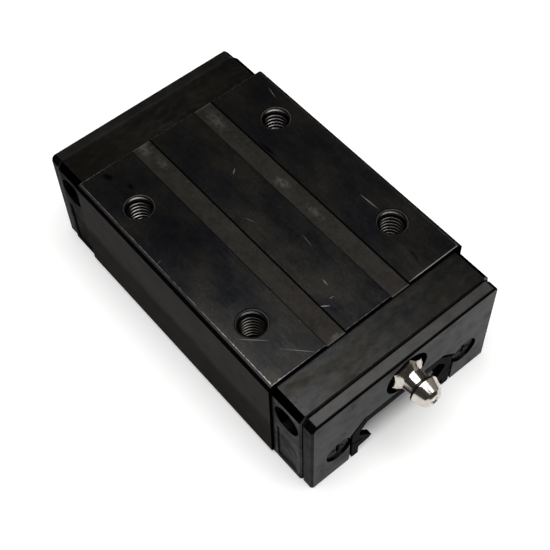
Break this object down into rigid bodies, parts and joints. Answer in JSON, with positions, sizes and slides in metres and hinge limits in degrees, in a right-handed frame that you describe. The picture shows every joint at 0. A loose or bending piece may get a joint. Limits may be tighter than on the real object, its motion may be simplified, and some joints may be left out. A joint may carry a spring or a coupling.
{
  "type": "linear guide block",
  "caption": "Low-profile linear guide block: black steel carriage on recirculating balls, with plastic end caps, end seals and a grease nipple at one end.",
  "frame": {"origin": "centre of the four tapped holes, on the top mounting face", "axes": "+Z out of the mounting face, +X along the rail towards the grease nipple, +Y to the right of that end"},
  "size_m": [0.0889, 0.048, 0.026],
  "materials": {
    "blackened_steel": "ground steel with a thin black plate",
    "cap_plastic": "satin black moulding",
    "seal_rubber": "black moulded rubber on a plate",
    "retainer_plastic": "dark grey moulding",
    "ball_steel": "polished hardened steel",
    "screw_steel": "black oxide",
    "bright_nickel": "bright nickel plate",
    "spring_steel": "drawn wire"
  },
  "bodies": {
    "block": {"carriage": "blackened_steel", "front_end_cap": "cap_plastic", "rear_end_cap": "cap_plastic", "front_end_seal": "seal_rubber", "rear_end_seal": "seal_rubber", "right_ball_retainer": "retainer_plastic", "right_bottom_seal": "seal_rubber", "front_right_cap_screw": "screw_steel", "front_right_upper_return_guide": "retainer_plastic", "front_right_lower_return_guide": "retainer_plastic", "rear_right_cap_screw": "screw_steel", "rear_right_upper_return_guide": "retainer_plastic", "rear_right_lower_return_guide": "retainer_plastic", "left_ball_retainer": "retainer_plastic", "left_bottom_seal": "seal_rubber", "front_left_cap_screw": "screw_steel", "front_left_upper_return_guide": "retainer_plastic", "front_left_lower_return_guide": "retainer_plastic", "rear_left_cap_screw": "screw_steel", "rear_left_upper_return_guide": "retainer_plastic", "rear_left_lower_return_guide": "retainer_plastic", "grease_nipple": "bright_nickel", "nipple_spring": "spring_steel", "grease_port_plug": "screw_steel"},
    "check_ball": {"nipple_check_ball": "ball_steel"},
    "right_upper_loaded_balls": {"right_upper_loaded_balls": "ball_steel"},
    "right_upper_return_balls": {"right_upper_return_balls": "ball_steel"},
    "right_upper_front_turn_balls": {"right_upper_front_turn_balls": "ball_steel"},
    "right_upper_rear_turn_balls": {"right_upper_rear_turn_balls": "ball_steel"},
    "right_lower_loaded_balls": {"right_lower_loaded_balls": "ball_steel"},
    "right_lower_return_balls": {"right_lower_return_balls": "ball_steel"},
    "right_lower_front_turn_balls": {"right_lower_front_turn_balls": "ball_steel"},
    "right_lower_rear_turn_balls": {"right_lower_rear_turn_balls": "ball_steel"},
    "left_upper_loaded_balls": {"left_upper_loaded_balls": "ball_steel"},
    "left_upper_return_balls": {"left_upper_return_balls": "ball_steel"},
    "left_upper_front_turn_balls": {"left_upper_front_turn_balls": "ball_steel"},
    "left_upper_rear_turn_balls": {"left_upper_rear_turn_balls": "ball_steel"},
    "left_lower_loaded_balls": {"left_lower_loaded_balls": "ball_steel"},
    "left_lower_return_balls": {"left_lower_return_balls": "ball_steel"},
    "left_lower_front_turn_balls": {"left_lower_front_turn_balls": "ball_steel"},
    "left_lower_rear_turn_balls": {"left_lower_rear_turn_balls": "ball_steel"}
  },
  "joints": [
    {"name": "check_ball_lift", "type": "slide", "parent": "block", "child": "check_ball", "axis": [-1, 0, 0], "range_m": [0, 0.0009], "stiffness_N_per_m": 150, "springref_m": -0.002, "deforming": ["nipple_spring"]},
    {"name": "right_upper_loaded_roll", "type": "slide", "parent": "block", "child": "right_upper_loaded_balls", "axis": [1, 0, 0], "range_m": [-0.002, 0.002]},
    {"name": "right_upper_return_roll", "type": "slide", "parent": "block", "child": "right_upper_return_balls", "axis": [1, 0, 0], "range_m": [-0.002, 0.002]},
    {"name": "right_upper_front_turn", "type": "hinge", "parent": "block", "child": "right_upper_front_turn_balls", "pos_m": [0.03, 0.01489, -0.01415], "axis": [0, -0.2317, 0.9728], "range_deg": [-30, 30]},
    {"name": "right_upper_rear_turn", "type": "hinge", "parent": "block", "child": "right_upper_rear_turn_balls", "pos_m": [-0.03, 0.01489, -0.01415], "axis": [0, -0.2317, 0.9728], "range_deg": [-30, 30]},
    {"name": "right_lower_loaded_roll", "type": "slide", "parent": "block", "child": "right_lower_loaded_balls", "axis": [1, 0, 0], "range_m": [-0.002, 0.002]},
    {"name": "right_lower_return_roll", "type": "slide", "parent": "block", "child": "right_lower_return_balls", "axis": [1, 0, 0], "range_m": [-0.002, 0.002]},
    {"name": "right_lower_front_turn", "type": "hinge", "parent": "block", "child": "right_lower_front_turn_balls", "pos_m": [0.03, 0.01449, -0.0216], "axis": [0, 0.1702, 0.9854], "range_deg": [-30, 30]},
    {"name": "right_lower_rear_turn", "type": "hinge", "parent": "block", "child": "right_lower_rear_turn_balls", "pos_m": [-0.03, 0.01449, -0.0216], "axis": [0, 0.1702, 0.9854], "range_deg": [-30, 30]},
    {"name": "left_upper_loaded_roll", "type": "slide", "parent": "block", "child": "left_upper_loaded_balls", "axis": [1, 0, 0], "range_m": [-0.002, 0.002]},
    {"name": "left_upper_return_roll", "type": "slide", "parent": "block", "child": "left_upper_return_balls", "axis": [1, 0, 0], "range_m": [-0.002, 0.002]},
    {"name": "left_upper_front_turn", "type": "hinge", "parent": "block", "child": "left_upper_front_turn_balls", "pos_m": [0.03, -0.01489, -0.01415], "axis": [0, -0.2317, -0.9728], "range_deg": [-30, 30]},
    {"name": "left_upper_rear_turn", "type": "hinge", "parent": "block", "child": "left_upper_rear_turn_balls", "pos_m": [-0.03, -0.01489, -0.01415], "axis": [0, -0.2317, -0.9728], "range_deg": [-30, 30]},
    {"name": "left_lower_loaded_roll", "type": "slide", "parent": "block", "child": "left_lower_loaded_balls", "axis": [1, 0, 0], "range_m": [-0.002, 0.002]},
    {"name": "left_lower_return_roll", "type": "slide", "parent": "block", "child": "left_lower_return_balls", "axis": [1, 0, 0], "range_m": [-0.002, 0.002]},
    {"name": "left_lower_front_turn", "type": "hinge", "parent": "block", "child": "left_lower_front_turn_balls", "pos_m": [0.03, -0.01449, -0.0216], "axis": [0, 0.1702, -0.9854], "range_deg": [-30, 30]},
    {"name": "left_lower_rear_turn", "type": "hinge", "parent": "block", "child": "left_lower_rear_turn_balls", "pos_m": [-0.03, -0.01449, -0.0216], "axis": [0, 0.1702, -0.9854], "range_deg": [-30, 30]}
  ],
  "couplings": [
    {"joint": "right_upper_return_roll", "follows": "right_upper_loaded_roll", "ratio": -1},
    {"joint": "right_upper_front_turn", "follows": "right_upper_loaded_roll", "rad_per_m": 261.79},
    {"joint": "right_upper_rear_turn", "follows": "right_upper_loaded_roll", "rad_per_m": 261.79},
    {"joint": "right_lower_return_roll", "follows": "right_lower_loaded_roll", "ratio": -1},
    {"joint": "right_lower_front_turn", "follows": "right_lower_loaded_roll", "rad_per_m": 261.79},
    {"joint": "right_lower_rear_turn", "follows": "right_lower_loaded_roll", "rad_per_m": 261.79},
    {"joint": "left_upper_return_roll", "follows": "left_upper_loaded_roll", "ratio": -1},
    {"joint": "left_upper_front_turn", "follows": "left_upper_loaded_roll", "rad_per_m": 261.79},
    {"joint": "left_upper_rear_turn", "follows": "left_upper_loaded_roll", "rad_per_m": 261.79},
    {"joint": "left_lower_return_roll", "follows": "left_lower_loaded_roll", "ratio": -1},
    {"joint": "left_lower_front_turn", "follows": "left_lower_loaded_roll", "rad_per_m": 261.79},
    {"joint": "left_lower_rear_turn", "follows": "left_lower_loaded_roll", "rad_per_m": 261.79}
  ]
}
